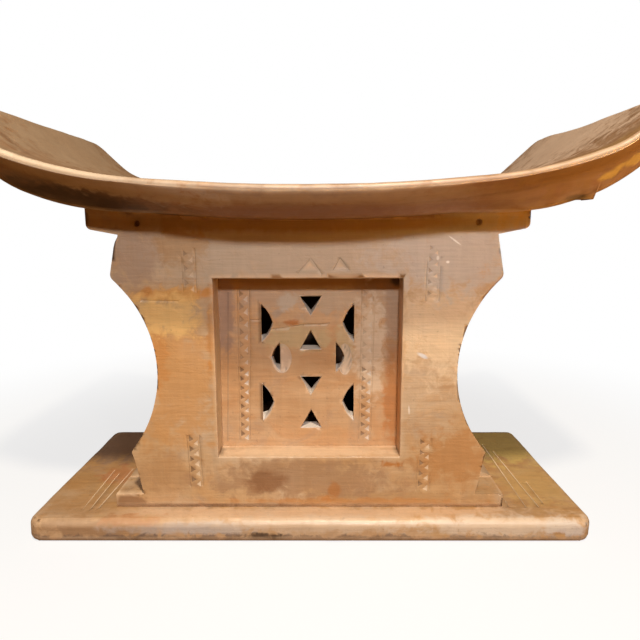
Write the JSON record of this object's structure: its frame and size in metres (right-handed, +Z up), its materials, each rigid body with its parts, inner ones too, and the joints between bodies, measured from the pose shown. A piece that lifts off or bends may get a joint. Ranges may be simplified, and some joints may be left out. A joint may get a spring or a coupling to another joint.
{
  "type": "ashanti stool",
  "caption": "Low wooden stool with a curved, turned-up seat on a waisted box pillar with sunk, pierced panels and a flat slab base.",
  "frame": {"origin": "middle of the underside of the base, where the stool rests on the floor", "axes": "+X along the seat's length, to the right when the front face is looked at; +Y from the front face to the back; +Z up"},
  "size_m": [0.5292, 0.286, 0.3435],
  "materials": {
    "seat_wood": "worn, hand-hewn hardwood with a soft wax sheen",
    "pillar_wood": "dry, hand-hewn ochre hardwood",
    "panel_wood": "dry, hand-carved ochre hardwood",
    "base_wood": "worn hardwood with a grey sheen on the edges",
    "peg_wood": "dark, end-grain pegs"
  },
  "bodies": {
    "root": {"base": "base_wood", "foot_plinth": "pillar_wood", "left_cheek": "pillar_wood", "right_cheek": "pillar_wood", "front_board": "pillar_wood", "back_board": "pillar_wood", "front_panel": "panel_wood", "back_panel": "panel_wood", "bearer": "pillar_wood", "seat": "seat_wood", "board_dowels": "peg_wood", "seat_dowels": "peg_wood", "bearer_pins": "peg_wood"}
  },
  "joints": []
}
